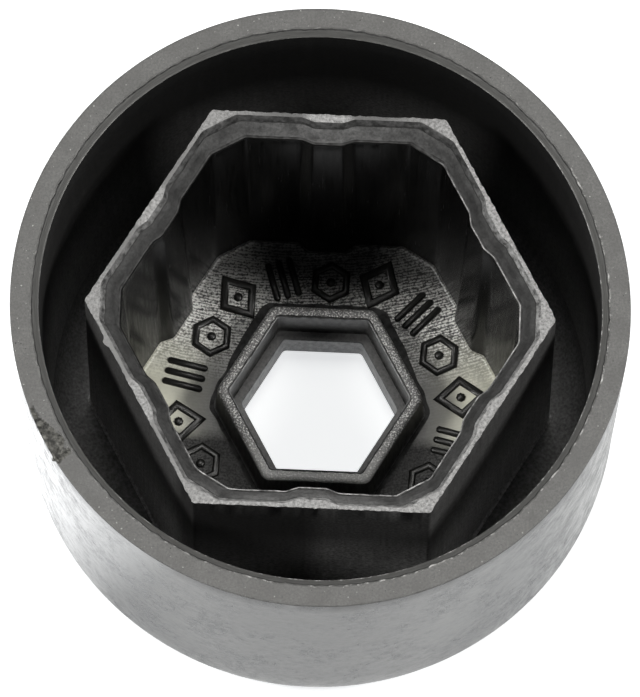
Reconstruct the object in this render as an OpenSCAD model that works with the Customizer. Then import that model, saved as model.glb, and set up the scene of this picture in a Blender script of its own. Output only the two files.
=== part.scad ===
// Push-on cover cap for the 17 mm hexagon head of a wheel bolt or nut, moulded in one piece.
// A round cup holds a hexagonal sleeve, and a hexagonal hole leads out through its closed end.
// Z is the cap's axis: the closed end's outer face lies at z = 0 and the mouth opens towards +Z.
// Two corners of the hexagon lie on the X axis.

/* [Cup] */
// Outer diameter at the open rim
cup_d = 29.7; // [28.5:0.1:34]
// Height from the closed end's outer face to the rim
cup_h = 21; // [18:0.5:28]
// Radius that the outer wall loses from the rim down to the closed end
cup_draft = 0.15; // [0.05:0.05:0.3]
// Radius of the rounded edge round the closed end
edge_r = 3.8; // [3:0.1:5]
// Thickness of the closed end
end_t = 1.8; // [1.2:0.1:2.4]
// Width of the flat top of the rim
rim_flat = 1; // [0.8:0.05:1.3]
// Width of the chamfer inside the rim
rim_chamfer_w = 0.38; // [0.2:0.02:0.5]
// Depth of the chamfer inside the rim
rim_chamfer_h = 0.35; // [0.2:0.05:0.8]

/* [Sleeve] */
// Distance across the socket's flats at the foot of the lead-in
socket_af = 17.5; // [16.5:0.1:18.5]
// Distance that each flat leans in from the lead-in down to the floor
socket_draft = 0.18; // [0.1:0.02:0.4]
// Width of the flat that cuts each corner of the socket
corner_flat = 1.87; // [1:0.05:2.5]
// Thickness of the sleeve's wall at the foot of the lead-in
sleeve_wall = 1.05; // [0.8:0.05:1.3]
// Distance that the sleeve's wall thickens outwards towards its root
sleeve_draft = 0.2; // [0.1:0.05:0.3]
// Depth of the sleeve's mouth below the rim
sleeve_drop = 1; // [0.5:0.1:2]
// Width of the flat top left outside the lead-in
mouth_land = 0.2; // [0.1:0.05:0.4]
// Depth of the lead-in
leadin_h = 1.05; // [0.5:0.05:2]
// Radius where the socket's flats meet its floor
floor_fillet = 0.15; // [0.1:0.05:0.6]
// Radius of the sleeve's six outer corners
sleeve_corner_r = 0.15; // [0.1:0.05:0.5]

/* [Grip ribs] */
// Width of a rib's foot at the lead-in
rib_base_w = 2.5; // [2:0.1:3.5]
// Width of a rib's crest at the lead-in
rib_crest_w = 1.4; // [0.8:0.1:1.8]
// Height of a rib at the lead-in
rib_h = 0.22; // [0.1:0.02:0.4]
// Width that each rib gains down to the floor
rib_spread = 0.4; // [0.1:0.05:0.6]
// Height that each rib gains down to the floor
rib_rise = 0.24; // [0.1:0.02:0.4]

/* [Boss] */
// Distance across the boss's flats
boss_af = 9; // [8.8:0.1:10.5]
// Height of the boss above the floor
boss_h = 2.8; // [2.2:0.1:4]
// Distance across the flats of the recess in the boss
recess_af = 7.8; // [7.4:0.1:8.2]
// Depth of the recess from the boss's top
recess_h = 2.4; // [1:0.1:3]
// Distance across the flats of the hole through the closed end
hole_af = 6.8; // [5.5:0.1:7]
// Width of the chamfer round the hole on the outer face
hole_chamfer = 0.15; // [0.1:0.05:0.4]
// Radius of the boss's six outer corners
boss_corner_r = 0.6; // [0.2:0.1:1]
// Radius of the corners of the recess and the hole
hole_corner_r = 0.3; // [0.1:0.05:0.6]
// Distance that the boss's flats lean in towards its top
boss_draft = 0.1; // [0.05:0.05:0.2]

/* [Hidden] */

$fn = 96;
arc_step = 9;
corner_steps = 4;
fillet_steps = 3;
overcut = 1;

cup_r = cup_d / 2;
end_r = cup_r - cup_draft;
cup_wall = rim_flat + rim_chamfer_w;
gap_corner_r = edge_r - end_t;

mouth_z = cup_h - sleeve_drop;
leadin_z = mouth_z - leadin_h;
grip_apothem = socket_af / 2;
floor_apothem = grip_apothem - socket_draft;
sleeve_apothem = grip_apothem + sleeve_wall;
root_apothem = sleeve_apothem + sleeve_draft;
leadin_apothem = sleeve_apothem - mouth_land;
boss_z = end_t + boss_h;
ledge_z = boss_z - recess_h;

// A convex hexagon's corners, each one an arc, with two of them on the X axis.
function rounded_hex(apothem, corner_r) = [
    for (side = [0:5], step = [0:corner_steps])
        let (
            middle = 60 * side,
            centre = (apothem - corner_r) / cos(30),
            turn = middle - 30 + 60 * step / corner_steps
        )
        [centre * cos(middle) + corner_r * cos(turn), centre * sin(middle) + corner_r * sin(turn)]
];

// A point beside the middle of one flat: t runs along the flat and a is its distance from the axis.
function beside_flat(side, t, a) =
    let (normal = 30 + 60 * side)
    [a * cos(normal) - t * sin(normal), a * sin(normal) + t * cos(normal)];

// The socket's outline at one height: six flats with a grip rib on each, and cut corners.
// Growth goes from 0 where the ribs are lowest to 1 at the floor.
function socket_outline(apothem, growth) =
    let (
        half_flat = apothem * tan(30) - corner_flat / 2 / sin(60),
        half_base = (rib_base_w + rib_spread * growth) / 2,
        half_crest = (rib_crest_w + rib_spread * growth) / 2,
        crest = apothem - rib_h - rib_rise * growth
    )
    [
        for (side = [0:5])
            for (p = [
                [-half_flat, apothem],
                [-half_base, apothem],
                [-half_crest, crest],
                [half_crest, crest],
                [half_base, apothem],
                [half_flat, apothem]
            ])
            beside_flat(side, p[0], p[1])
    ];

// A solid through a stack of outlines, each with as many points, from the lowest height up.
module loft(outlines, heights) {
    count = len(outlines[0]);
    last = len(outlines) - 1;
    points = [for (i = [0:last], p = outlines[i]) [p[0], p[1], heights[i]]];
    sides = [
        for (i = [0:last - 1], j = [0:count - 1])
            let (
                k = (j + 1) % count,
                low = i * count,
                high = low + count
            )
            each [[low + j, high + j, low + k], [low + k, high + j, high + k]]
    ];
    bottom = [for (j = [0:count - 1]) j];
    top = [for (j = [count - 1:-1:0]) last * count + j];
    polyhedron(points, concat([bottom], sides, [top]));
}

module cup() {
    outer_arc = [
        for (a = [0:arc_step:90])
            [end_r - edge_r + edge_r * sin(a), edge_r - edge_r * cos(a)]
    ];
    gap_arc = [
        for (a = [0:arc_step:90])
            [
                end_r - cup_wall - gap_corner_r * (1 - sin(a)),
                end_t + gap_corner_r * (1 - cos(a))
            ]
    ];
    rotate_extrude()
        difference() {
            polygon(concat([[0, 0]], outer_arc, [[cup_r, cup_h], [0, cup_h]]));
            polygon(concat(
                [[0, end_t]],
                gap_arc,
                [
                    [cup_r - cup_wall, cup_h - rim_chamfer_h],
                    [cup_r - rim_flat, cup_h],
                    [cup_r - rim_flat, cup_h + overcut],
                    [0, cup_h + overcut]
                ]
            ));
        }
}

// The cut that leaves the floor, its fillet, the ribbed flats and the lead-in.
module socket_space() {
    fillet_turns = [for (i = [0:fillet_steps - 1]) 90 * i / fillet_steps];
    foot = [
        for (a = fillet_turns)
            socket_outline(floor_apothem - floor_fillet * (1 - sin(a)), 1)
    ];
    foot_heights = [for (a = fillet_turns) end_t + floor_fillet * (1 - cos(a))];
    walls = [
        socket_outline(floor_apothem, 1),
        socket_outline(grip_apothem, 0),
        socket_outline(leadin_apothem, 0),
        socket_outline(leadin_apothem, 0)
    ];
    wall_heights = [end_t + floor_fillet, leadin_z, mouth_z, mouth_z + overcut];
    loft(concat(foot, walls), concat(foot_heights, wall_heights));
}

module sleeve() {
    difference() {
        loft(
            [
                rounded_hex(root_apothem, sleeve_corner_r),
                rounded_hex(sleeve_apothem, sleeve_corner_r)
            ],
            [end_t / 2, mouth_z]
        );
        socket_space();
    }
}

module boss() {
    loft(
        [
            rounded_hex(boss_af / 2 + boss_draft, boss_corner_r),
            rounded_hex(boss_af / 2, boss_corner_r)
        ],
        [end_t / 2, boss_z]
    );
}

// The recess in the boss, the narrower hole below its ledge and the chamfer on the outer face.
module hook_way() {
    translate([0, 0, ledge_z])
        linear_extrude(recess_h + overcut)
            polygon(rounded_hex(recess_af / 2, hole_corner_r));
    translate([0, 0, -overcut])
        linear_extrude(ledge_z + 2 * overcut)
            polygon(rounded_hex(hole_af / 2, hole_corner_r));
    loft(
        [
            rounded_hex(hole_af / 2 + 2 * hole_chamfer, hole_corner_r + hole_chamfer),
            rounded_hex(hole_af / 2, hole_corner_r)
        ],
        [-hole_chamfer, hole_chamfer]
    );
}

module nut_cap() {
    color([0.11, 0.11, 0.11])
        difference() {
            union() {
                cup();
                sleeve();
                boss();
            }
            hook_way();
        }
}

nut_cap();
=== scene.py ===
# Looks of the wheel nut cover cap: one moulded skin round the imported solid, and a plain studio.
# Lengths are millimetres until a mesh is made. The frame is the part's own, with its mouth towards +Z.
import math

import bpy
from mathutils import Matrix, Vector, noise


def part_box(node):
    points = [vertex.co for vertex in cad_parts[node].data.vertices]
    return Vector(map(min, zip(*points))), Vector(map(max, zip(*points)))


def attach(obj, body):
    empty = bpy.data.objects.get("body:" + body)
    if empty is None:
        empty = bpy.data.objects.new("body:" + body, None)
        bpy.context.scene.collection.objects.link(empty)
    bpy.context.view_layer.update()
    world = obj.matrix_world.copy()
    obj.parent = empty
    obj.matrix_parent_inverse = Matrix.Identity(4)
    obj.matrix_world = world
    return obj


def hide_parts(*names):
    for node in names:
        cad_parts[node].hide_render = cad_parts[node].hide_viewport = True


MM = 0.001

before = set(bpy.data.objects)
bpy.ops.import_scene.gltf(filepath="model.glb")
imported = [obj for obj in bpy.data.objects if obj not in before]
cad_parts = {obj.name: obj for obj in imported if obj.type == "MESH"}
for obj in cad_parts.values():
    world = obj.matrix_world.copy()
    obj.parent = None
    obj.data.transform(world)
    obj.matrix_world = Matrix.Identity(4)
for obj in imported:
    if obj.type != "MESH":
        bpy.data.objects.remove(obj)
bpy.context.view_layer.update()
cap_low, cap_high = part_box("nut_cap")

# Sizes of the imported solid. AF is a distance across flats, A one from the axis to a flat, R a radius, W a
# width, H a height, T a thickness and Z a place on the axis.
# Cup
CUP_R = (cap_high.x - cap_low.x) / 2 / MM
CUP_H = (cap_high.z - cap_low.z) / MM
CUP_DRAFT = 0.15
EDGE_R = 3.8
END_T = 1.8
RIM_FLAT = 1.0
CHAMFER_W = 0.38
CHAMFER_H = 0.35

# Sleeve
SOCKET_AF = 17.5
SOCKET_DRAFT = 0.18
CORNER_FLAT = 1.87
SLEEVE_WALL = 1.05
SLEEVE_DRAFT = 0.2
SLEEVE_DROP = 1.0
MOUTH_LAND = 0.2
LEADIN_H = 1.05
FLOOR_FILLET = 0.15
SLEEVE_CORNER_R = 0.15
RIB_BASE_W = 2.5
RIB_CREST_W = 1.4
RIB_H = 0.22
RIB_SPREAD = 0.4
RIB_RISE = 0.24

# Boss and hole
BOSS_AF = 9.0
BOSS_H = 2.8
BOSS_DRAFT = 0.1
BOSS_CORNER_R = 0.6
RECESS_AF = 7.8
RECESS_H = 2.4
HOLE_AF = 6.8
HOLE_CHAMFER = 0.15
HOLE_CORNER_R = 0.3

END_R = CUP_R - CUP_DRAFT
CUP_WALL = RIM_FLAT + CHAMFER_W
GAP_CORNER_R = EDGE_R - END_T
MOUTH_Z = CUP_H - SLEEVE_DROP
LEADIN_Z = MOUTH_Z - LEADIN_H
GRIP_A = SOCKET_AF / 2
FLOOR_A = GRIP_A - SOCKET_DRAFT
SLEEVE_A = GRIP_A + SLEEVE_WALL
ROOT_A = SLEEVE_A + SLEEVE_DRAFT
LEADIN_A = SLEEVE_A - MOUTH_LAND
BOSS_Z = END_T + BOSS_H
LEDGE_Z = BOSS_Z - RECESS_H

# What the skin adds to them: the bevel outside the rim, the rounded edge of the boss, how far the outer
# wall lies inside the solid's, and the height of the lumps on the rim
RIM_BEVEL = 0.07
BOSS_EDGE_R = 0.22
WALL_INSET = 0.005
RIM_LUMP = 0.004
# How far the rim has sprung out of round, and the direction of its longer axis
OUT_OF_ROUND = 0.09
LONG_AXIS = math.radians(135)
# Scar where the moulding gate was cut off the rim: its two ends round the axis, how far its second
# end leans for each millimetre inwards, its width and depth, and the side that it lies on
SCAR_START = math.radians(202.6)
SCAR_END = math.radians(214.9)
SCAR_SLANT = 0.012
SCAR_W = 1.08
SCAR_DEPTH = 0.11
SCAR_SIDE = 3
# Bit of gate left at the scar's end: its place, half its width, both as angles, and its height
NUB_AT = math.radians(213.6)
NUB_TURN = 0.011
NUB_SIZE = 0.13
# Two crumbs on the sleeve's outer edge, in the same way
CRUMBS_AT = (math.radians(190.9), math.radians(192.0))
CRUMB_TURN = 0.012
CRUMB_SIZE = 0.16
# How much wider the painted shadow round the boss gets on the far side, for each millimetre of Y
BOSS_SHADOW_LEAN = 0.11

# The camera, from a fit to the rim, base, sleeve, boss and hole edges of the photograph
PHOTO_H = 697
FOCAL_PX = 7554
SENSOR = 36.0
CAMERA_DISTANCE = 360.8
CAMERA_ELEVATION = 74.16
CAMERA_AIM_DOWN = 0.336
CAMERA_ROLL = 0.418
CAMERA_AZIMUTH = 2.057

LAMP_DISTANCE = 500
LAMP_COLOR = (1.0, 0.985, 0.955)
HORIZON_LEVEL = 0.45
ZENITH_LEVEL = 0.07
# Heights on the sky, as the Z of a direction, between which it goes from one level to the other
HORIZON_HEIGHT = 0.12
ZENITH_HEIGHT = 0.55
SKY_COLOR = (0.98, 0.99, 1, 1)

# Half the table's side, in metres
TABLE_HALF = 0.6
TABLE_COLOR = (0.83, 0.84, 0.84, 1)
TABLE_GLOW = (0.97, 0.985, 1, 1)
# How far the table is lifted to white: seen, mirrored, and mirrored from its left side, which paints a
# brighter reflection on the cap's left side
TABLE_LIFT = 0.72
TABLE_LIFT_MIRRORED = 0.5
TABLE_LIFT_MIRRORED_LEFT = 1.7

NYLON_IOR = 1.53
# Directions of the flats whose land is dull beside its rib, in degrees, and how pale it is there
DULL_LANDS = {90: 0.1, 150: 0.15, 210: 0.19}
# Middle of the arcs that the milling cutter left on the floor, and the way from one to the next
ARC_CENTRE = (-2.2, 30.0, 0.0)
ARC_SPACING = 0.155

# Raised marks round the boss: where the first and last one lie, how many there are, how far out they
# lie, and how much further at the sleeve's corners
MARKS_START = math.radians(-33)
MARKS_END = math.radians(208)
MARK_COUNT = 13
MARKS_AWAY = 6.9
MARKS_SWAY = 0.3
# Their lines: length of a bar, width, height and depth in the floor
MARK_LONG = 2.1
MARK_STROKE = 0.35
MARK_RISE = 0.14
MARK_SUNK = 0.04
# Distances from middle to side of the nut, the diamond and the middle point, how much longer than wide
# the diamond is, the way from bar to bar and the steps in a bar's round end
NUT_A = 0.78
DIAMOND_A = 0.62
MIDDLE_A = 0.05
DIAMOND_LONG = 1.25
BAR_PITCH = 0.55
BAR_END_STEPS = 8

SIDES = 6
SIDE_ANGLE = 2 * math.pi / SIDES
TAN30 = math.tan(math.radians(30))
COS30 = math.cos(math.radians(30))
SIN60 = math.sin(math.radians(60))
# Samples on one side of the hexagon: corner flat, flat, rib flank, rib crest and back again,
# and the same for the side that carries the scar
SAMPLES = (12, 19, 5, 20, 5, 19, 12)
SCAR_SAMPLES = (12, 19, 13, 44, 13, 19, 12)
# Length over which a corner of the ribbed outline is rounded
SOCKET_ROUND = 0.12
# Angles in degrees above which an edge is shaded sharp
SHARP_FROM = 38
MARKS_SHARP_FROM = 50


def mix(a, b, share):
    return a + (b - a) * share


def smooth(share):
    share = min(max(share, 0.0), 1.0)
    return share * share * (3 - 2 * share)


def grain(x, y, size, seed):
    """Smooth noise from -1 to 1 whose lumps are about this size."""
    return noise.noise(Vector((x / size + seed, y / size - seed, seed)))


def socket_knots(apothem, growth):
    """One side of the ribbed outline as (along, outwards), from one corner flat's middle to the next."""
    half_flat = apothem * TAN30 - CORNER_FLAT / 2 / SIN60
    half_base = (RIB_BASE_W + RIB_SPREAD * growth) / 2
    half_crest = (RIB_CREST_W + RIB_SPREAD * growth) / 2
    crest = apothem - RIB_H - RIB_RISE * growth
    corner = apothem * COS30 + half_flat / 2
    return [
        (-corner / 2, corner * COS30),
        (-half_flat, apothem),
        (-half_base, apothem),
        (-half_crest, crest),
        (half_crest, crest),
        (half_base, apothem),
        (half_flat, apothem),
        (corner / 2, corner * COS30),
    ]


def rounded_bend(before, knot, after, cut, share):
    """A point on the curve that rounds one knot: share runs from 0 to 1 and is 0.5 at the middle."""
    entry = Vector(knot) + (Vector(before) - Vector(knot)).normalized() * cut
    leave = Vector(knot) + (Vector(after) - Vector(knot)).normalized() * cut
    rest = 1 - share
    return entry * rest * rest + Vector(knot) * 2 * rest * share + leave * share * share


def along_knots(knots, segment, fraction, cut):
    """A point on one stretch between knots; the line is rounded at each knot but the first and last."""
    start = Vector(knots[segment])
    end = Vector(knots[segment + 1])
    length = (end - start).length
    from_start = fraction * length
    from_end = length - from_start
    reach = min(cut, length / 2)
    if from_start < reach and segment > 0:
        share = 0.5 + 0.5 * from_start / reach
        return rounded_bend(knots[segment - 1], knots[segment], knots[segment + 1], reach, share)
    if from_end < reach and segment + 2 < len(knots):
        share = 0.5 - 0.5 * from_end / reach
        return rounded_bend(knots[segment], knots[segment + 1], knots[segment + 2], reach, share)
    return start.lerp(end, fraction)


def make_stations():
    """Every ring of the skin has one point for each station: (side, segment, fraction)."""
    stations = []
    for side in range(SIDES):
        counts = SCAR_SAMPLES if side == SCAR_SIDE else SAMPLES
        for segment, count in enumerate(counts):
            for i in range(count):
                stations.append((side, segment, i / count))
    return stations


STATIONS = make_stations()
REFERENCE = socket_knots(GRIP_A, 0)
# Each station's place along its side, from -1 at one corner to 1 at the next
PLACES = [along_knots(REFERENCE, s, f, 0.0)[0] / REFERENCE[-1][0] for _, s, f in STATIONS]


def turned(side, along, outwards):
    """The place of a point given by how far it lies along one side and out from the axis."""
    normal = SIDE_ANGLE * (side + 0.5)
    return (
        outwards * math.cos(normal) - along * math.sin(normal),
        outwards * math.sin(normal) + along * math.cos(normal),
    )


def socket(apothem, growth=0.0):
    """The socket's ribbed outline; growth runs from 0 at the lead-in to 1 at the floor."""
    knots = socket_knots(apothem, growth)
    return [
        turned(side, *along_knots(knots, segment, fraction, SOCKET_ROUND))
        for side, segment, fraction in STATIONS
    ]


def hexagon(apothem, corner_r):
    """A hexagon with two corners on the X axis, each one rounded."""
    half = apothem * TAN30
    cut = corner_r * TAN30
    points = []
    for (side, _, _), place in zip(STATIONS, PLACES):
        along = place * half
        from_corner = half - abs(along)
        point = Vector((along, apothem))
        if from_corner < cut:
            sign = math.copysign(1, along)
            corner = (sign * half, apothem)
            beyond = (corner[0] + sign * 0.5, apothem - SIN60)
            point = rounded_bend((0, apothem), corner, beyond, cut, 0.5 - 0.5 * from_corner / cut)
        points.append(turned(side, *point))
    return points


def circle(radius, sway=0.0):
    """A circle whose radius grows by sway along the rim's longer axis and shrinks as much across it."""
    points = []
    for (side, _, _), place in zip(STATIONS, PLACES):
        turn = SIDE_ANGLE * (side + 0.5) + math.atan(place * TAN30)
        reach = radius + sway * math.cos(2 * (turn - LONG_AXIS))
        points.append((reach * math.cos(turn), reach * math.sin(turn)))
    return points


def blend(a, b, share):
    return [(mix(p[0], q[0], share), mix(p[1], q[1], share)) for p, q in zip(a, b)]


def pushed(outline, offsets, further=0.0):
    """The outline with each point moved away from the axis by its own offset and a bit further."""
    points = []
    for (x, y), offset in zip(outline, offsets):
        grow = 1 + (offset + further) / math.hypot(x, y)
        points.append((x * grow, y * grow))
    return points


def ragged(outline, *waves):
    """An offset for each point, out of waves of noise that each have a size, an amount and a seed."""
    return [sum(amount * grain(x, y, size, seed) for size, amount, seed in waves) for x, y in outline]


def shade_smooth(mesh, sharp_from):
    """Smooth shading all over, but for the edges above an angle."""
    mesh.polygons.foreach_set("use_smooth", [True] * len(mesh.polygons))
    mesh.set_sharp_from_angle(angle=math.radians(sharp_from))
    mesh.update()


class Skin:
    """Rings that follow the cap's section once round; each joins the next one and the last the first."""

    def __init__(self):
        self.rings = []
        self.finishes = []

    def add(self, finish, outline, height):
        """One more ring, at one height or one for each point; its finish covers the way to it."""
        heights = height if isinstance(height, list) else [height] * len(outline)
        self.rings.append([(x, y, z) for (x, y), z in zip(outline, heights)])
        self.finishes.append(finish)

    def mesh(self, name, materials):
        count = len(STATIONS)
        rows = len(self.rings)
        points = [tuple(v * MM for v in p) for ring in self.rings for p in ring]
        faces = []
        slots = []
        names = list(materials)
        for row in range(rows):
            above = (row + 1) % rows
            for i in range(count):
                j = (i + 1) % count
                faces.append((row * count + i, row * count + j, above * count + j, above * count + i))
                finish = self.finishes[above]
                if finish == "rim" and scar_share(*self.rings[above][i][:2]) > 0.3:
                    finish = "scar"
                slots.append(names.index(finish))
        mesh = bpy.data.meshes.new(name)
        mesh.from_pydata(points, [], faces)
        for material in materials.values():
            mesh.materials.append(material)
        mesh.polygons.foreach_set("material_index", slots)
        shade_smooth(mesh, SHARP_FROM)
        return mesh


def steps(count):
    """Shares above 0 up to and including 1."""
    return [(i + 1) / count for i in range(count)]


def add_outer_face(skin):
    """The flat closed end, from the hole's chamfer to the start of the rounded edge."""
    hole = hexagon(HOLE_AF / 2 + HOLE_CHAMFER, HOLE_CORNER_R + HOLE_CHAMFER)
    edge = circle(END_R - EDGE_R)
    skin.add("hole", hole, 0.0)
    for share in steps(5):
        skin.add("outside", blend(hole, edge, share), 0.0)


def sway_at(z):
    """How far the wall is out of round at a height."""
    return OUT_OF_ROUND * smooth((z - EDGE_R) / (CUP_H - EDGE_R))


def add_outer_wall(skin):
    """The rounded edge of the closed end and the leaning wall up to the rim."""
    for share in steps(12):
        turn = math.pi / 2 * share
        radius = END_R - EDGE_R + EDGE_R * math.sin(turn)
        skin.add("outside", circle(radius), EDGE_R * (1 - math.cos(turn)))
    top = CUP_H - RIM_BEVEL
    for share in steps(12):
        z = mix(EDGE_R, top, share)
        skin.add("outside", circle(mix(END_R, CUP_R, share) - WALL_INSET, sway_at(z)), z)


def scar_share(x, y):
    """1 in the gate scar and 0 outside it: narrow at its start, then wider, with an abrupt end."""
    turn = math.atan2(y, x) % (2 * math.pi)
    inwards = CUP_R + OUT_OF_ROUND - math.hypot(x, y)
    end = SCAR_END - SCAR_SLANT * inwards
    if not SCAR_START < turn < end:
        return 0.0
    along = (turn - SCAR_START) / (SCAR_END - SCAR_START)
    width = SCAR_W * (0.35 + 0.65 * smooth(along * 1.6)) * (1 + 0.2 * grain(x, y, 0.4, 3.1))
    return smooth((width - inwards) / 0.08) * smooth((turn - SCAR_START) / 0.006)


def scar_depth(x, y):
    """How far the scar's crumbled face lies below the rim."""
    share = scar_share(x, y)
    if share == 0.0:
        return 0.0
    rough = 0.45 + 1.1 * grain(x, y, 0.26, 7.7) + 0.7 * grain(x, y, 0.13, 1.3)
    return SCAR_DEPTH * share * rough


def nub(x, y):
    """The bit of gate that still stands out from the rim at the scar's end."""
    turn = math.atan2(y, x) % (2 * math.pi)
    return NUB_SIZE * smooth(1 - abs(turn - NUB_AT) / NUB_TURN)


def crumbs(x, y):
    """How far the crumbs stand out from the sleeve's edge."""
    turn = math.atan2(y, x) % (2 * math.pi)
    return sum(CRUMB_SIZE * smooth(1.2 - abs(turn - middle) / CRUMB_TURN) for middle in CRUMBS_AT)


def rim_heights(outline, drop=0.0):
    """The slightly uneven rim's height at each point, with the gate scar sunk into it."""
    heights = []
    for (x, y), lump in zip(outline, ragged(outline, (1.5, RIM_LUMP, 0.0), (0.4, 0.003, 5.0))):
        heights.append(CUP_H - drop - RIM_LUMP + min(lump, RIM_LUMP) - max(scar_depth(x, y), -0.01))
    return heights


def add_rim(skin):
    """The rim's bevel and its flat top, with the gate scar in both."""
    for share in steps(3):
        turn = math.pi / 2 * share
        outline = circle(CUP_R - RIM_BEVEL * (1 - math.cos(turn)), OUT_OF_ROUND)
        lumps = ragged(outline, (0.5, 0.004, 2.0))
        outline = pushed(outline, [v + nub(x, y) for v, (x, y) in zip(lumps, outline)])
        finish = "edge_shade" if share < 0.5 else "rim"
        skin.add(finish, outline, rim_heights(outline, RIM_BEVEL * (1 - math.sin(turn))))
    for share in steps(13):
        outline = circle(mix(CUP_R - RIM_BEVEL, CUP_R - RIM_FLAT + 0.12, share), OUT_OF_ROUND)
        skin.add("rim", outline, rim_heights(outline))


def add_chamfer(skin):
    """The ragged lip inside the rim, the groove under it, the chamfer and the burr at its foot."""
    inner = circle(CUP_R - RIM_FLAT, OUT_OF_ROUND)
    lip = ragged(inner, (0.8, 0.03, 9.0), (0.27, 0.055, 9.5))
    skin.add("rim", pushed(inner, lip, 0.045), rim_heights(inner))
    skin.add("lip", pushed(inner, lip, 0.015), [z + 0.006 for z in rim_heights(inner)])
    skin.add("lip", pushed(inner, lip, -0.03), CUP_H - 0.012)
    skin.add("edge_shade", pushed(inner, lip, -0.035), CUP_H - 0.05)
    skin.add("edge_shade", pushed(inner, [0.6 * v for v in lip], -0.085), CUP_H - 0.075)
    for share in steps(4):
        outline = circle(mix(CUP_R - RIM_FLAT - 0.1, CUP_R - CUP_WALL + 0.05, share), OUT_OF_ROUND)
        outline = pushed(outline, ragged(outline, (0.4, 0.008, 4.0)))
        skin.add("chamfer", outline, CUP_H - mix(0.09, CHAMFER_H - 0.03, share))
    foot = circle(CUP_R - CUP_WALL + 0.012, OUT_OF_ROUND)
    skin.add("lip", pushed(foot, ragged(foot, (0.5, 0.008, 14.0))), CUP_H - CHAMFER_H + 0.02)


def add_gap(skin):
    """The deep gap between cup and sleeve: the cup's inner wall, its rounded foot and the floor."""
    top = CUP_H - CHAMFER_H - 0.03
    foot = END_T + GAP_CORNER_R
    for share in [0.0] + steps(10):
        z = mix(top, foot, share)
        skin.add("gap", circle(mix(CUP_R, END_R, share) - CUP_WALL, sway_at(z)), z)
    for share in steps(8):
        turn = math.pi / 2 * (1 - share)
        radius = END_R - CUP_WALL - GAP_CORNER_R * (1 - math.sin(turn))
        skin.add("gap_foot", circle(radius), END_T + GAP_CORNER_R * (1 - math.cos(turn)))
    floor_edge = circle(END_R - CUP_WALL - GAP_CORNER_R)
    root = hexagon(ROOT_A + 0.15, SLEEVE_CORNER_R + 0.15)
    for share in (0.4, 0.8):
        skin.add("gap_foot", blend(floor_edge, root, share), END_T)
    skin.add("gap_foot", root, END_T + 0.01)


def add_sleeve_outside(skin):
    """The sleeve's six leaning outer faces."""
    top = MOUTH_Z - 0.06
    for share in [0.0] + steps(9):
        z = mix(END_T + 0.16, top, share)
        skin.add("sleeve", hexagon(mix(ROOT_A, SLEEVE_A, share), SLEEVE_CORNER_R), z)


def add_mouth(skin):
    """The sleeve's ragged top edge and its narrow land."""
    edge = hexagon(SLEEVE_A, SLEEVE_CORNER_R)
    burr = ragged(edge, (0.28, 0.05, 6.0), (0.9, 0.03, 8.0), (0.17, 0.04, 6.5))
    skin.add("sleeve", pushed(edge, [0.6 * v for v in burr]), MOUTH_Z - 0.03)
    lumps = [v - 0.012 + crumbs(x, y) for v, (x, y) in zip(burr, edge)]
    skin.add("land", pushed(edge, lumps), MOUTH_Z - 0.003)
    inner = socket(LEADIN_A)
    heights = [MOUTH_Z + v for v in ragged(inner, (0.3, 0.008, 0.0))]
    for share in (0.25, 0.5, 0.75, 0.95):
        skin.add("land", blend(hexagon(SLEEVE_A - 0.02, SLEEVE_CORNER_R), inner, share), heights)


def add_leadin(skin):
    """A steep narrow band under the land, a fine groove, and the wide band down to the grip."""
    groove_a = LEADIN_A - 0.2
    groove_z = MOUTH_Z - 0.36
    foot_z = LEADIN_Z + 0.02
    for share in (0.06, 0.3, 0.6, 0.9):
        a = mix(LEADIN_A, groove_a, share)
        skin.add("torn", socket(a), mix(MOUTH_Z - 0.01, groove_z, share))
    wave = ragged(socket(groove_a), (0.35, 0.035, 10.0))
    skin.add("torn", pushed(socket(groove_a + 0.02), wave), groove_z - 0.02)
    skin.add("edge_shade", pushed(socket(groove_a - 0.01), wave), groove_z - 0.05)
    for share in steps(5):
        outline = socket(mix(groove_a - 0.08, GRIP_A + 0.14, share))
        outline = pushed(outline, ragged(outline, (0.5, 0.012, 11.0)))
        skin.add("leadin", outline, mix(groove_z - 0.055, foot_z + 0.07, share))
    lip = ragged(socket(GRIP_A), (0.5, 0.02, 12.0))
    skin.add("edge_shade", pushed(socket(GRIP_A + 0.1), lip), foot_z + 0.03)
    skin.add("edge_shade", pushed(socket(GRIP_A + 0.045), lip), foot_z + 0.01)
    skin.add("edge", pushed(socket(GRIP_A), lip), foot_z)
    skin.add("edge", pushed(socket(GRIP_A - 0.01), lip), foot_z - 0.03)


def add_socket_walls(skin):
    """The ribbed flats down to the floor, and the fillet at their foot."""
    for share in [0.006] + steps(16)[:-1] + [0.992]:
        z = mix(LEADIN_Z, END_T + FLOOR_FILLET, share)
        skin.add("socket", socket(mix(GRIP_A, FLOOR_A, share), share), z)
    for share in steps(3):
        turn = math.pi / 2 * share
        outline = socket(FLOOR_A - FLOOR_FILLET * (1 - math.cos(turn)), 1.0)
        skin.add("floor", outline, END_T + FLOOR_FILLET * (1 - math.sin(turn)))


def add_floor(skin):
    """The floor, with a painted shadow round the boss."""
    outer = socket(FLOOR_A - FLOOR_FILLET, 1.0)
    root = hexagon(BOSS_AF / 2 + BOSS_DRAFT + 0.08, BOSS_CORNER_R + 0.08)
    # A painted shadow round the boss, wider on the far side
    boss_shadow = hexagon(BOSS_AF / 2 + BOSS_DRAFT + 0.3, BOSS_CORNER_R + 0.3)
    lumps = ragged(boss_shadow, (0.7, 0.1, 16.0))
    boss_shadow = pushed(boss_shadow, [BOSS_SHADOW_LEAN * max(y, 0.0) + v for v, (_, y) in zip(lumps, boss_shadow)])
    for share in steps(8):
        skin.add("floor", blend(outer, boss_shadow, share), END_T)
    for share in (0.5, 1.0):
        skin.add("edge_shade", blend(boss_shadow, root, share), END_T)


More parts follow.
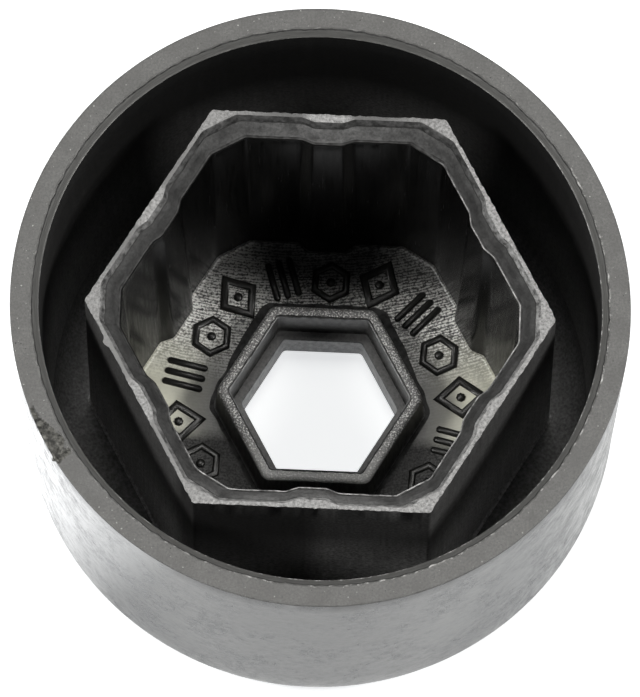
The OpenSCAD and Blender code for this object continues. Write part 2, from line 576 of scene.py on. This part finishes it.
def add_boss(skin):
    """The boss's leaning sides, the rounded edge above them and its grained top."""
    for share in [0.0] + steps(5):
        a = BOSS_AF / 2 + BOSS_DRAFT * (1 - share)
        skin.add("boss_side", hexagon(a, BOSS_CORNER_R), mix(END_T + 0.07, BOSS_Z - BOSS_EDGE_R, share))
    for share in steps(5):
        turn = math.pi / 2 * share
        a = BOSS_AF / 2 - BOSS_EDGE_R * (1 - math.cos(turn))
        skin.add("boss_top", hexagon(a, BOSS_CORNER_R), BOSS_Z - BOSS_EDGE_R * (1 - math.sin(turn)))
    outer = hexagon(BOSS_AF / 2 - BOSS_EDGE_R, BOSS_CORNER_R)
    inner = hexagon(RECESS_AF / 2 + 0.16, HOLE_CORNER_R)
    for share in steps(3):
        skin.add("boss_top", blend(outer, inner, share), BOSS_Z)


def add_hook_way(skin):
    """The recess in the boss, its ledge, and the hole through the closed end."""
    recess = RECESS_AF / 2
    hole = HOLE_AF / 2
    lip = hexagon(recess + 0.12, HOLE_CORNER_R)
    lip = pushed(lip, ragged(lip, (0.3, 0.025, 15.0)))
    skin.add("boss_top", lip, BOSS_Z - 0.01)
    skin.add("edge_shade", pushed(lip, [-0.01] * len(lip)), BOSS_Z - 0.07)
    skin.add("edge_shade", pushed(lip, [-0.08] * len(lip)), BOSS_Z - 0.075)
    skin.add("hole", hexagon(recess, HOLE_CORNER_R), BOSS_Z - 0.1)
    for share in steps(4):
        skin.add("recess", hexagon(recess, HOLE_CORNER_R), mix(BOSS_Z - 0.1, LEDGE_Z + 0.05, share))
    skin.add("recess", hexagon(recess - 0.05, HOLE_CORNER_R), LEDGE_Z)
    skin.add("ledge", blend(hexagon(recess, HOLE_CORNER_R), hexagon(hole, HOLE_CORNER_R), 0.5), LEDGE_Z)
    skin.add("ledge", hexagon(hole + 0.04, HOLE_CORNER_R), LEDGE_Z)
    skin.add("hole", hexagon(hole, HOLE_CORNER_R), LEDGE_Z - 0.04)
    for share in steps(3):
        skin.add("hole", hexagon(hole, HOLE_CORNER_R), mix(LEDGE_Z - 0.04, HOLE_CHAMFER, share))


def node(tree, kind, inputs=None, **settings):
    """A shader node with its settings made; an input that is given a socket is linked to it."""
    made = tree.nodes.new(kind)
    for key, value in settings.items():
        setattr(made, key, value)
    for key, value in (inputs or {}).items():
        if isinstance(value, bpy.types.NodeSocket):
            tree.links.new(value, made.inputs[key])
        else:
            made.inputs[key].default_value = value
    return made


def computed(tree, operation, first, second=None):
    """What one Math node makes of one or two values."""
    inputs = {0: first} if second is None else {0: first, 1: second}
    return node(tree, "ShaderNodeMath", inputs, operation=operation).outputs[0]


def times(tree, product, *factors):
    """A value times one or more others."""
    for factor in factors:
        product = computed(tree, "MULTIPLY", product, factor)
    return product


def split(tree, vector):
    """A vector's X, Y and Z."""
    return node(tree, "ShaderNodeSeparateXYZ", {0: vector}).outputs


def new_material(name):
    material = bpy.data.materials.new(name)
    material.use_nodes = True
    material.node_tree.nodes.clear()
    return material, material.node_tree


def millimetres(tree, stretch=(1, 1, 1), centre=(0, 0, 0)):
    """The place on the object in millimetres, measured from a centre and stretched along each axis."""
    place = node(tree, "ShaderNodeTexCoord").outputs["Object"]
    scale = [v / MM for v in stretch]
    shift = [-c * v for c, v in zip(centre, stretch)]
    inputs = {"Vector": place, "Location": shift, "Scale": scale}
    return node(tree, "ShaderNodeMapping", inputs).outputs[0]


def polar(tree, along=1.0, round_the_axis=1.0, centre=(0, 0, 0)):
    """Radius, angle and height as a vector, so that noise stretched in it runs round or down a wall."""
    place = split(tree, millimetres(tree, centre=centre))
    flat = node(tree, "ShaderNodeCombineXYZ", {"X": place["X"], "Y": place["Y"]}).outputs[0]
    radius = node(tree, "ShaderNodeVectorMath", {0: flat}, operation="LENGTH").outputs["Value"]
    turn = times(tree, computed(tree, "ARCTAN2", place["Y"], place["X"]), round_the_axis)
    height = times(tree, place["Z"], along)
    return node(tree, "ShaderNodeCombineXYZ", {"X": radius, "Y": turn, "Z": height}).outputs[0]


def noise_field(tree, place, scale, detail=3.0, roughness=0.55):
    """Noise from 0 to 1, whose scale is about how many lumps lie on a millimetre."""
    inputs = {"Vector": place, "Scale": scale, "Detail": detail, "Roughness": roughness}
    return node(tree, "ShaderNodeTexNoise", inputs).outputs["Fac"]


def spread(tree, value, low, high, out_low, out_high):
    """A value between low and high, moved to between out_low and out_high and held there."""
    inputs = {"Value": value, "From Min": low, "From Max": high, "To Min": out_low, "To Max": out_high}
    return node(tree, "ShaderNodeMapRange", inputs, clamp=True).outputs["Result"]


def grey(level):
    return (level, level, level)


def tinted(tree, share, dark, pale):
    """A colour from dark where the share is 0 to pale where it is 1."""
    ramp = node(tree, "ShaderNodeValToRGB", {"Fac": share})
    ramp.color_ramp.elements[0].color = (*dark, 1)
    ramp.color_ramp.elements[1].color = (*pale, 1)
    return ramp.outputs["Color"]


def blended(tree, share, first, second):
    """The first colour where the share is 0 and the second where it is 1, each a socket or a tuple."""
    inputs = {"Factor": share}
    for key, color in (("A", first), ("B", second)):
        inputs[key] = (*color, 1) if isinstance(color, tuple) else color
    return node(tree, "ShaderNodeMix", inputs, data_type="RGBA").outputs["Result"]


def bump(tree, height, distance, strength, normal=None):
    """A bumped normal; the distance is in millimetres."""
    inputs = {"Height": height, "Distance": distance * MM, "Strength": strength}
    if normal is not None:
        inputs["Normal"] = normal
    return node(tree, "ShaderNodeBump", inputs).outputs["Normal"]


def surface(tree, color, roughness, normal=None, specular=0.5):
    """A moulded plastic surface on the material's output."""
    inputs = {"Base Color": color, "Roughness": roughness, "IOR": NYLON_IOR}
    inputs["Specular IOR Level"] = specular
    if normal is not None:
        inputs["Normal"] = normal
    shader = node(tree, "ShaderNodeBsdfPrincipled", inputs).outputs["BSDF"]
    node(tree, "ShaderNodeOutputMaterial", {"Surface": shader})


def near_right(tree, low, high, far_left_share):
    """A share that falls from 1 on the near right of the cap towards its far left.

    Low and high are X minus Y in millimetres, and far_left_share is what is left at low.
    """
    place = split(tree, millimetres(tree))
    across = computed(tree, "SUBTRACT", place["X"], place["Y"])
    return spread(tree, across, low, high, far_left_share, 1)


def plain_finish(
    name, dark, pale, scale, detail=3.0, grit=0.55, drawn=1, low=0.3, high=0.7,
    roughness=0.5, depth=0.02, strength=0.4, specular=0.5,
):
    """A finish with one field of noise for both its colour and its relief.

    The colour goes from dark to pale where the noise goes from low to high, and drawn below 1 pulls the
    noise out along the cap's axis.
    """
    material, tree = new_material(name)
    field = noise_field(tree, millimetres(tree, (1, 1, drawn)), scale, detail, grit)
    color = tinted(tree, spread(tree, field, low, high, 0, 1), dark, pale)
    surface(tree, color, roughness, bump(tree, field, depth, strength), specular)
    return material


def rim_finish():
    """Matt and slightly warm, with fine pale specks and dark pits."""
    material, tree = new_material("nylon_rim")
    place = millimetres(tree)
    fine = noise_field(tree, place, 9.0, 5.0, 0.75)
    broad = noise_field(tree, place, 0.9)
    dots = noise_field(tree, place, 8.0, 0.0)
    shade = times(tree, spread(tree, fine, 0.28, 0.72, 0.15, 1), spread(tree, broad, 0.35, 0.65, 0.6, 1))
    color = tinted(tree, shade, (0.06, 0.06, 0.058), (0.19, 0.19, 0.187))
    color = blended(tree, spread(tree, dots, 0.12, 0.2, 1, 0), color, grey(0.03))
    color = blended(tree, spread(tree, dots, 0.78, 0.87, 0, 1), color, (0.42, 0.42, 0.41))
    surface(tree, color, spread(tree, broad, 0.3, 0.7, 0.42, 0.54), bump(tree, fine, 0.02, 0.6))
    return material


def chamfer_finish():
    """Faint rings round the axis, as a turned mould leaves them."""
    material, tree = new_material("nylon_chamfer")
    rings = noise_field(tree, polar(tree, 10.0, 3.0), 5.0)
    color = tinted(tree, spread(tree, rings, 0.3, 0.7, 0, 1), (0.065, 0.065, 0.063), (0.13, 0.13, 0.126))
    surface(tree, color, 0.5, bump(tree, rings, 0.02, 0.5))
    return material


def lip_finish():
    """A thin burr along an edge: dark in most places, with pale bits where it is torn that are painted
    highlights, fainter towards the far left.
    """
    material, tree = new_material("nylon_lip")
    torn = noise_field(tree, millimetres(tree), 2.4, 4.0, 0.7)
    # The pale bits are painted highlights, which fade towards the far left
    shade = times(tree, spread(tree, torn, 0.5, 0.72, 0, 1), near_right(tree, -4.0, 8.0, 0.25))
    color = tinted(tree, shade, (0.07, 0.07, 0.068), (0.55, 0.55, 0.54))
    surface(tree, color, 0.42, bump(tree, torn, 0.03, 0.5))
    return material


def gap_finish(name, dark, pale, far_share, high_share):
    """A surface of the gap, with faint lines down the way the mould was drawn, and painted light and shade.

    Its colour is darker where light falls, down to far_share on the far side and to high_share near the
    mouth, and paler deep down, where the gap lies in shade; a painted shadow darkens a patch on the near
    left.
    """
    material, tree = new_material(name)
    draw = noise_field(tree, polar(tree, 0.15, 30.0), 1.5, 4.0, 0.65)
    fine = noise_field(tree, millimetres(tree), 7.0)
    place = split(tree, millimetres(tree))
    # Painted light and shade: paler deep down, where the gap lies in shade, and darker near the mouth,
    # where light falls
    low_down = times(
        tree,
        spread(tree, place["Z"], 8.0, 15.0, 1, high_share),
        spread(tree, fine, 0.3, 0.7, 0.3, 1),
    )
    # Painted shadow: a patch on the near left is darkened
    painted_shadow = times(
        tree,
        spread(tree, place["Y"], -9.0, -8.0, 1, 0),
        spread(tree, place["X"], -0.4, 0.8, 1, 0),
        spread(tree, place["X"], -8.0, -6.5, 0, 1),
    )
    # Painted shade: darker on the far side, where the lamps light the wall
    painted_shading = times(tree, spread(tree, place["Y"], 2.0, 10.0, 1, far_share), low_down)
    painted_shading = times(tree, painted_shading, spread(tree, painted_shadow, 0, 1, 1, 0.35))
    shade = times(tree, spread(tree, draw, 0.3, 0.7, 0.7, 1), painted_shading)
    surface(tree, tinted(tree, shade, grey(dark), grey(pale)), 0.55, bump(tree, draw, 0.006, 0.3), 0.2)
    return material


def pale_land_share(tree, facing):
    """0 on the land beside the rib of the flat that faces a direction, rising to 1 everywhere else."""
    turned_place = node(
        tree,
        "ShaderNodeVectorRotate",
        {"Vector": millimetres(tree), "Angle": math.radians(90 - facing)},
        rotation_type="Z_AXIS",
    )
    place = split(tree, turned_place.outputs["Vector"])
    aside = computed(tree, "ABSOLUTE", place["X"])
    on_rib = spread(tree, aside, 0.9, 1.3, 1, 0)
    at_corner = spread(tree, aside, 2.5, 6.0, 0, 1)
    elsewhere = spread(tree, place["Y"], 8.0, 9.0, 1, 0)
    return computed(tree, "MAXIMUM", computed(tree, "MAXIMUM", at_corner, elsewhere), on_rib)


def land_finish():
    """The sleeve's narrow top, pale, and darker beside the ribs on the far and left sides."""
    material, tree = new_material("nylon_land")
    fine = noise_field(tree, millimetres(tree), 6.5, 3.0, 0.65)
    color = tinted(tree, spread(tree, fine, 0.35, 0.68, 0, 1), grey(0.13), grey(0.46))
    for facing, level in DULL_LANDS.items():
        color = blended(tree, pale_land_share(tree, facing), grey(level), color)
    surface(tree, color, spread(tree, fine, 0.3, 0.7, 0.36, 0.5), bump(tree, fine, 0.02, 0.5))
    return material


def leadin_finish():
    """The lead-in's wide band: patchy and gritty, and darker on the left and right, which is painted shade.
    """
    material, tree = new_material("nylon_leadin")
    place = millimetres(tree)
    fine = noise_field(tree, place, 7.0, 4.0, 0.7)
    patches = noise_field(tree, place, 1.1, 3.0, 0.6)
    aside = computed(tree, "ABSOLUTE", split(tree, place)["X"])
    # Painted shade: darker on the left and right
    shade = times(
        tree,
        spread(tree, times(tree, fine, patches), 0.1, 0.4, 0.2, 1),
        spread(tree, aside, 2.0, 6.5, 1, 0.45),
    )
    normal = bump(tree, fine, 0.02, 0.5, bump(tree, patches, 0.05, 0.5))
    surface(tree, tinted(tree, shade, grey(0), grey(0.2)), 0.48, normal)
    return material


def torn_finish():
    """The first band of the lead-in, roughened and pale in patches, with painted shade that darkens it on
    the far side and towards the far left.
    """
    material, tree = new_material("nylon_torn")
    place = millimetres(tree)
    torn = noise_field(tree, place, 3.2, 4.0, 0.7)
    # Painted shade: darker on the far side and towards the far left
    shade = times(
        tree,
        spread(tree, torn, 0.35, 0.7, 0.1, 1),
        spread(tree, split(tree, place)["Y"], 4.0, 8.0, 1, 0.3),
        near_right(tree, 0.0, 8.0, 0.6),
    )
    surface(tree, tinted(tree, shade, grey(0.015), grey(0.7)), 0.45, bump(tree, torn, 0.06, 0.6))
    return material


def edge_finish():
    """The sharp foot of the lead-in, with a painted highlight that is pale on the near right and fades to
    black towards the far left.
    """
    material, tree = new_material("nylon_edge")
    fine = noise_field(tree, millimetres(tree), 2.0, 4.0, 0.65)
    # Painted highlight: pale on the near right, fading to black and to a low specular level towards the far
    # left
    painted_edge_highlight = near_right(tree, -5.0, 3.0, 0)
    shade = times(tree, spread(tree, fine, 0.4, 0.66, 0.12, 1), painted_edge_highlight)
    color = tinted(tree, shade, grey(0.008), grey(0.62))
    surface(tree, color, 0.3, None, spread(tree, painted_edge_highlight, 0, 1, 0.03, 0.5))
    return material


def socket_finish():
    """Fairly glossy walls with faint lines down the direction the core was drawn out."""
    material, tree = new_material("nylon_socket")
    draw = noise_field(tree, millimetres(tree, (1, 1, 0.04)), 7.0, 4.0, 0.6)
    color = tinted(tree, spread(tree, draw, 0.3, 0.7, 0, 1), grey(0.004), grey(0.012))
    surface(tree, color, spread(tree, draw, 0.3, 0.7, 0.16, 0.28), bump(tree, draw, 0.008, 0.3), 0.03)
    return material


def cutter_lines(tree):
    """Wavering lines along the arcs of a milling cutter."""
    around = polar(tree, 1.0, 7.0, ARC_CENTRE)
    turns = times(tree, split(tree, around)["X"], 2 * math.pi / ARC_SPACING)
    wobble = spread(tree, noise_field(tree, around, 1.4, 6.0, 0.75), 0.25, 0.75, 0, 11.0)
    ripple = computed(tree, "SINE", computed(tree, "ADD", turns, wobble))
    return spread(tree, ripple, -1, 1, 0.25, 0.75)


def floor_finish():
    """Milled in arcs beyond the boss, with painted glints and painted shade there, a painted pool of light
    on either side of the boss, and painted shade before it.
    """
    material, tree = new_material("nylon_floor")
    place = millimetres(tree)
    across = split(tree, place)["X"]
    depth = split(tree, place)["Y"]
    from_axis = split(tree, polar(tree))["X"]
    lines = cutter_lines(tree)
    fine = noise_field(tree, place, 9.0, 3.0, 0.65)
    patches = noise_field(tree, place, 0.7)
    glint_patches = noise_field(tree, place, 3.5, 3.0, 0.6)
    # Painted glints: the arcs' lines are coloured up to white, brighter towards the left
    glints = times(
        tree,
        lines,
        spread(tree, fine, 0.34, 0.66, 0.1, 1),
        spread(tree, glint_patches, 0.35, 0.65, 0.6, 1.5),
        spread(tree, across, -5.0, -1.0, 1.3, 1),
    )
    bright = tinted(tree, spread(tree, glints, 0.12, 0.5, 0, 1), (0.03, 0.03, 0.029), (1, 1, 0.97))
    # Painted shade: further back the glints fade into a dark colour
    far_painted_shade = tinted(tree, spread(tree, glints, 0.14, 0.4, 0, 1), grey(0.012), (0.2, 0.2, 0.195))
    cut = blended(tree, spread(tree, depth, 5.2, 7.2, 0, 1), bright, far_painted_shade)
    # A painted pool of light: pale beige on either side of the boss, brightest by the walls and dark near
    # the boss
    painted_light = tinted(tree, spread(tree, patches, 0.3, 0.7, 0, 1), (0.68, 0.68, 0.57), (0.95, 0.95, 0.79))
    painted_light = blended(tree, spread(tree, from_axis, 5.4, 7.8, 0.95, 0), painted_light, (0.07, 0.07, 0.065))
    # Painted shade: before the boss the floor is dark, and its specular level is lowered there
    near_painted_shade = tinted(tree, spread(tree, fine, 0.36, 0.66, 0, 1), grey(0.004), grey(0.065))
    near_side = spread(tree, depth, -1.9, -1.2, 1, 0)
    # Beyond the boss the arcs' bumps and painted glints show; nearer lie the painted pool of light and
    # painted shade
    milled = spread(tree, depth, 1.2, 4.2, 0.03, 1)
    color = blended(tree, milled, blended(tree, near_side, painted_light, near_painted_shade), cut)
    normal = bump(tree, fine, 0.004, 0.6, bump(tree, times(tree, lines, milled), 0.006, 0.8))
    surface(tree, color, 0.4, normal, spread(tree, near_side, 0, 1, 0.5, 0.1))
    return material


def boss_top_finish():
    """The fine pitted grain of a spark-eroded mould face, with painted glints as white specks and painted
    light that makes the near side paler.
    """
    material, tree = new_material("nylon_boss_top")
    place = millimetres(tree)
    fine = noise_field(tree, place, 12.0, 1.0, 0.6)
    # Painted light: the near side of the top is paler
    painted_light = spread(tree, split(tree, place)["Y"], -4.4, -2.0, 0.6, 0)
    # Painted glints: the grain's specks are coloured up to white
    color = tinted(tree, spread(tree, fine, 0.5, 0.78, 0, 1), grey(0.12), (1, 1, 0.98))
    color = blended(tree, painted_light, color, (0.66, 0.66, 0.65))
    surface(tree, color, 0.34, bump(tree, fine, 0.03, 0.8))
    return material


def outside_finish():
    """Satin, with soft scuffs that run round the cup and finer rubbing between them."""
    material, tree = new_material("nylon_outside")
    scuffs = noise_field(tree, polar(tree, 0.45, 11.0), 0.7, 4.0, 0.6)
    rubbing = noise_field(tree, polar(tree, 0.5, 9.0), 3.2, 3.0, 0.65)
    both = times(tree, scuffs, rubbing)
    shade = spread(tree, both, 0.12, 0.4, 0, 1)
    color = tinted(tree, shade, (0.008, 0.009, 0.011), (0.085, 0.089, 0.097))
    normal = bump(tree, rubbing, 0.02, 0.5, bump(tree, scuffs, 0.03, 0.5))
    surface(tree, color, spread(tree, both, 0.12, 0.4, 0.1, 0.32), normal, 0.155)
    return material


def add_object(name, data):
    made = bpy.data.objects.new(name, data)
    bpy.context.scene.collection.objects.link(made)
    return made


def mark_band(outline_at, hole):
    """A rounded band as rings of points; outline_at gives its outline at a distance from its middle."""
    half = MARK_STROKE / 2
    section = [(1, -MARK_SUNK), (1, 0.02), (0.86, 0.7 * MARK_RISE), (0.5, MARK_RISE)]
    rings = [(outline_at(half * out), z) for out, z in section]
    if hole:
        rings += [(outline_at(-half * out), z) for out, z in reversed(section)]
    return rings


def regular(corners, apothem, long=1.0):
    """A polygon that is stretched along its first corner; the outline moves out by its distance."""
    def outline_at(distance):
        reach = (apothem + distance) / math.cos(math.pi / corners)
        turns = [2 * math.pi * i / corners for i in range(corners)]
        return [(reach * long * math.cos(t), reach * math.sin(t)) for t in turns]
    return outline_at


def bar(shift):
    """A rounded bar that points away from the axis, moved sideways by its shift."""
    end = MARK_LONG / 2 - MARK_STROKE / 2
    turns = [math.pi * (i / BAR_END_STEPS - 0.5) for i in range(BAR_END_STEPS + 1)]

    def outline_at(distance):
        outer = [(end + distance * math.cos(t), shift + distance * math.sin(t)) for t in turns]
        return outer + [(-x, 2 * shift - y) for x, y in outer]
    return outline_at


def mark_shapes(kind):
    """One plain mark's bands, each with whether it has a hole: a nut, three bars or a diamond."""
    middle = (regular(8, MIDDLE_A), False)
    if kind == "nut":
        return [(regular(6, NUT_A), True), middle]
    if kind == "bars":
        return [(bar(shift), False) for shift in (-BAR_PITCH, 0.0, BAR_PITCH)]
    return [(regular(4, DIAMOND_A, DIAMOND_LONG), True), middle]


def band_faces(base, rows, count, hole):
    """The faces between a band's rings; a band without a hole is closed by its first and last ring."""
    faces = []
    for row in range(rows if hole else rows - 1):
        above = (row + 1) % rows
        for j in range(count):
            k = (j + 1) % count
            face = (row * count + j, row * count + k, above * count + k, above * count + j)
            faces.append(tuple(base + v for v in face))
    if not hole:
        faces.append(tuple(base + count - 1 - j for j in range(count)))
        faces.append(tuple(base + (rows - 1) * count + j for j in range(count)))
    return faces


def on_floor(turn, away, x, y, z):
    """A mark's own point moved to the mark's place round the axis, in metres."""
    reach = away + x
    along = reach * math.cos(turn) - y * math.sin(turn)
    across = reach * math.sin(turn) + y * math.cos(turn)
    return (along * MM, across * MM, (END_T + z) * MM)


def build_marks():
    """Plain raised marks in an arc on the socket's floor, with nothing to read in them."""
    points = []
    faces = []
    kinds = ("nut", "bars", "diamond")
    for i in range(MARK_COUNT):
        turn = mix(MARKS_START, MARKS_END, i / (MARK_COUNT - 1))
        away = MARKS_AWAY + MARKS_SWAY * math.cos(SIDES * turn)
        for outline_at, hole in mark_shapes(kinds[i % len(kinds)]):
            rings = mark_band(outline_at, hole)
            faces += band_faces(len(points), len(rings), len(rings[0][0]), hole)
            points += [on_floor(turn, away, x, y, z) for outline, z in rings for x, y in outline]
    mesh = bpy.data.meshes.new("floor_marks")
    mesh.from_pydata(points, [], faces)
    finish = plain_finish(
        "nylon_marks", grey(0.008), (0.022, 0.022, 0.02), 9.0, grit=0.65, roughness=0.33, depth=0.01
    )
    mesh.materials.append(finish)
    shade_smooth(mesh, MARKS_SHARP_FROM)
    marks = add_object("floor_marks", mesh)
    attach(marks, "root")


def cap_materials():
    """The finish of each stretch of the skin, by the name that the rings carry."""
    # Noise that the hole and its recess share, as one pin in the mould made both
    drawn_hole = {"scale": 3.0, "detail": 4.0, "grit": 0.65, "drawn": 0.5, "low": 0.35}
    return {
        "outside": outside_finish(),
        "rim": rim_finish(),
        "chamfer": chamfer_finish(),
        "scar": plain_finish(
            "nylon_scar", (0.012, 0.012, 0.01), (0.2, 0.197, 0.18), 3.4, detail=4.0, grit=0.7,
            low=0.42, high=0.68, depth=0.12, strength=0.9,
        ),
        "lip": lip_finish(),
        # Painted shade: dark lines in the grooves, at the rim's outer bevel, under the recess lip and round
        # the boss's foot
        "edge_shade": plain_finish("nylon_edge_shade", grey(0.015), grey(0.08), 3.0, roughness=0.6, specular=0.2),
        # Painted light and shade in the gap and on the sleeve, as gap_finish paints them
        "gap": gap_finish("nylon_gap_wall", 0.006, 0.7, 0.3, 0.09),
        "gap_foot": gap_finish("nylon_gap_foot", 0.04, 0.3, 0.9, 1),
        "sleeve": gap_finish("nylon_sleeve_wall", 0.015, 0.8, 0.6, 0.24),
        "land": land_finish(),
        "leadin": leadin_finish(),
        "torn": torn_finish(),
        "edge": edge_finish(),
        "socket": socket_finish(),
        "floor": floor_finish(),
        # Painted light: the boss's sides are much paler than the nylon elsewhere, standing in for light in
        # their shade
        "boss_side": plain_finish(
            "nylon_boss_side", grey(0.12), grey(0.32), 6.0, drawn=0.15, roughness=0.4, specular=0.3
        ),
        "boss_top": boss_top_finish(),
        "recess": plain_finish(
            "nylon_recess", grey(0.015), (0.11, 0.11, 0.108), **drawn_hole, roughness=0.38
        ),
        "ledge": plain_finish("nylon_ledge", grey(0.09), grey(0.16), 7.0),
        "hole": plain_finish(
            "nylon_hole", (0.05, 0.052, 0.054), (0.26, 0.265, 0.27), **drawn_hole,
            roughness=0.35, depth=0.06, strength=0.6,
        ),
    }


def build_cap():
    """The whole skin, from the hole in the closed end outside, over the rim and back to the hole."""
    skin = Skin()
    add_outer_face(skin)
    add_outer_wall(skin)
    add_rim(skin)
    add_chamfer(skin)
    add_gap(skin)
    add_sleeve_outside(skin)
    add_mouth(skin)
    add_leadin(skin)
    add_socket_walls(skin)
    add_floor(skin)
    add_boss(skin)
    add_hook_way(skin)
    cap = add_object("cap_skin", skin.mesh("cap_skin", cap_materials()))
    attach(cap, "root")
    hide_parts("nut_cap")


def build_camera():
    """The photograph's view, which aims a little below the rim's centre and is slightly rolled."""
    data = bpy.data.cameras.new("camera")
    data.sensor_width = SENSOR
    data.lens = FOCAL_PX * SENSOR / PHOTO_H
    data.clip_start = 10 * MM
    elevation = math.radians(CAMERA_ELEVATION)
    dip = math.radians(CAMERA_ELEVATION + CAMERA_AIM_DOWN)
    turn = Matrix.Rotation(math.radians(CAMERA_AZIMUTH), 4, "Z")
    away = Vector((0, -math.cos(elevation), math.sin(elevation)))
    centre = Matrix.Translation((0, 0, CUP_H * MM))
    place = Matrix.Translation(away * CAMERA_DISTANCE * MM)
    tilt = Matrix.Rotation(math.pi / 2 - dip, 4, "X")
    roll = Matrix.Rotation(math.radians(CAMERA_ROLL), 4, "Z")
    camera = add_object("camera", data)
    camera.matrix_world = centre @ turn @ place @ tilt @ roll
    bpy.context.scene.camera = camera


def build_lamp(name, azimuth, elevation, size, level):
    """A round lamp that faces the cap; azimuth 0 is beyond the cap as the camera sees it.

    Level is how bright this lamp alone makes a white surface that lies flat.
    """
    data = bpy.data.lights.new(name, "AREA")
    data.shape = "DISK"
    data.size = size * MM
    data.color = LAMP_COLOR
    data.energy = level * (math.pi * LAMP_DISTANCE * MM) ** 2 / math.sin(math.radians(elevation))
    lamp = add_object(name, data)
    turn = math.radians(azimuth + CAMERA_AZIMUTH)
    rise = math.radians(elevation)
    away = Vector((-math.sin(turn) * math.cos(rise), math.cos(turn) * math.cos(rise), math.sin(rise)))
    lamp.location = away * LAMP_DISTANCE * MM
    lamp.rotation_euler = away.to_track_quat("Z", "Y").to_euler()


def build_world():
    """Pale light, strong near the horizon and weak overhead, and white where the sky itself is seen."""
    world = bpy.data.worlds.new("studio")
    bpy.context.scene.world = world
    world.use_nodes = True
    tree = world.node_tree
    tree.nodes.clear()
    seen = node(tree, "ShaderNodeLightPath").outputs["Is Camera Ray"]
    height = split(tree, node(tree, "ShaderNodeTexCoord").outputs["Generated"])["Z"]
    level = spread(tree, height, HORIZON_HEIGHT, ZENITH_HEIGHT, HORIZON_LEVEL, ZENITH_LEVEL)
    soft = node(tree, "ShaderNodeBackground", {"Color": SKY_COLOR, "Strength": level}).outputs[0]
    white = node(tree, "ShaderNodeBackground", {"Color": (1, 1, 1, 1), "Strength": 1.0}).outputs[0]
    both = node(tree, "ShaderNodeMixShader", {0: seen, 1: soft, 2: white}).outputs[0]
    node(tree, "ShaderNodeOutputWorld", {"Surface": both})


def table_finish():
    """Matt white, lifted to white where it is seen or mirrored, with the cap's shadow kept; lifted further
    on its left in mirrors, a painted reflection on the cap's left side.
    """
    material, tree = new_material("table_white")
    path = node(tree, "ShaderNodeLightPath").outputs
    mirrored = computed(tree, "MAXIMUM", path["Is Glossy Ray"], path["Is Transmission Ray"])
    across = split(tree, millimetres(tree))["X"]
    # A painted reflection: the table glows brighter on its left in mirrors, so the cap's left side shows a
    # paler reflection
    left_painted_reflection = spread(tree, across, -15.0, -11.0, TABLE_LIFT_MIRRORED_LEFT, TABLE_LIFT_MIRRORED)
    for_camera = times(tree, path["Is Camera Ray"], TABLE_LIFT)
    lift = computed(tree, "MAXIMUM", times(tree, mirrored, left_painted_reflection), for_camera)
    matt = node(tree, "ShaderNodeBsdfDiffuse", {"Color": TABLE_COLOR}).outputs[0]
    glow = node(tree, "ShaderNodeEmission", {"Color": TABLE_GLOW, "Strength": lift}).outputs[0]
    lifted = node(tree, "ShaderNodeAddShader", {0: matt, 1: glow}).outputs[0]
    node(tree, "ShaderNodeOutputMaterial", {"Surface": lifted})
    return material


def build_table():
    mesh = bpy.data.meshes.new("table")
    corners = [(x * TABLE_HALF, y * TABLE_HALF, 0) for x, y in ((-1, -1), (1, -1), (1, 1), (-1, 1))]
    mesh.from_pydata(corners, [], [(0, 1, 2, 3)])
    mesh.materials.append(table_finish())
    table = add_object("table", mesh)


bpy.context.scene.view_settings.view_transform = "Standard"
build_camera()
build_world()
build_table()
build_lamp("key", azimuth=0, elevation=76, size=130, level=0.2)
build_lamp("left_lamp", azimuth=100, elevation=55, size=110, level=0.4)
build_lamp("right_lamp", azimuth=-100, elevation=55, size=110, level=0.4)
build_cap()
build_marks()
